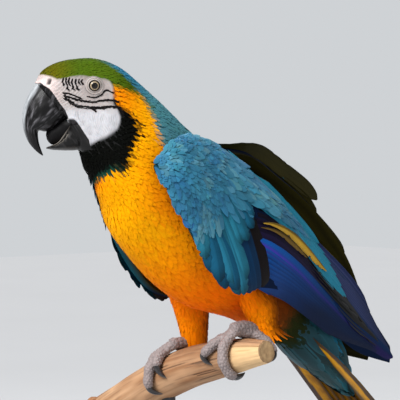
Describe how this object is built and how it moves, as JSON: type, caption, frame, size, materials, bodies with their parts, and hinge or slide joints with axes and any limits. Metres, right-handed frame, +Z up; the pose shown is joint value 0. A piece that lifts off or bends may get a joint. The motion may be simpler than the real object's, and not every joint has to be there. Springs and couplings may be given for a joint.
{
  "type": "blue-and-yellow macaw display model",
  "caption": "Still life-size model of a perched blue-and-yellow macaw with long tail, gripping a cut branch held by a rod on a flat display base.",
  "frame": {"origin": "centre of the stand base's underside, on the floor", "axes": "+Z up; the bird's body faces -Y and its left side is +X; the tail runs back along +Y and down; the branch runs along X"},
  "size_m": [0.3101, 0.6241, 0.631],
  "materials": {
    "blue_feathers": "soft overlapping turquoise-blue contour feathers, satin",
    "violet_feathers": "smooth long flight feathers, deep blue with violet edges",
    "tail_feathers": "smooth long tail feathers, blue above and olive-yellow below",
    "green_feathers": "short dense head feathers, green to blue",
    "gold_feathers": "soft dense golden-yellow breast feathers",
    "horn_black": "smooth black horn with a soft sheen",
    "eye": "wet glossy eye with a pale iris",
    "tongue": "dry dark tongue",
    "foot_scales": "dry grey-pink scaly skin",
    "branch_wood": "bare weathered wood, matt",
    "stand_metal": "satin charcoal powder coat"
  },
  "bodies": {
    "root": {"bill_lower": "horn_black", "bill_upper": "horn_black", "claw_left_back": "horn_black", "claw_left_inner": "horn_black", "claw_left_middle": "horn_black", "claw_left_outer": "horn_black", "claw_right_back": "horn_black", "claw_right_inner": "horn_black", "claw_right_middle": "horn_black", "claw_right_outer": "horn_black", "eye_left": "eye", "eye_right": "eye", "foot_left": "foot_scales", "foot_right": "foot_scales", "head": "green_feathers", "neck": "gold_feathers", "perch_branch": "branch_wood", "stand_base": "stand_metal", "stand_rod": "stand_metal", "tail_coverts_under": "blue_feathers", "tail_coverts_upper": "blue_feathers", "tail_feather_left_1": "tail_feathers", "tail_feather_left_2": "tail_feathers", "tail_feather_left_3": "tail_feathers", "tail_feather_left_4": "tail_feathers", "tail_feather_left_5": "tail_feathers", "tail_feather_left_6": "tail_feathers", "tail_feather_right_1": "tail_feathers", "tail_feather_right_2": "tail_feathers", "tail_feather_right_3": "tail_feathers", "tail_feather_right_4": "tail_feathers", "tail_feather_right_5": "tail_feathers", "tail_feather_right_6": "tail_feathers", "thigh_left": "gold_feathers", "thigh_right": "gold_feathers", "tongue": "tongue", "trunk": "gold_feathers", "wing_left_coverts": "blue_feathers", "wing_left_flight": "violet_feathers", "wing_left_tertials": "blue_feathers", "wing_right_coverts": "blue_feathers", "wing_right_flight": "violet_feathers", "wing_right_tertials": "blue_feathers"}
  },
  "joints": []
}
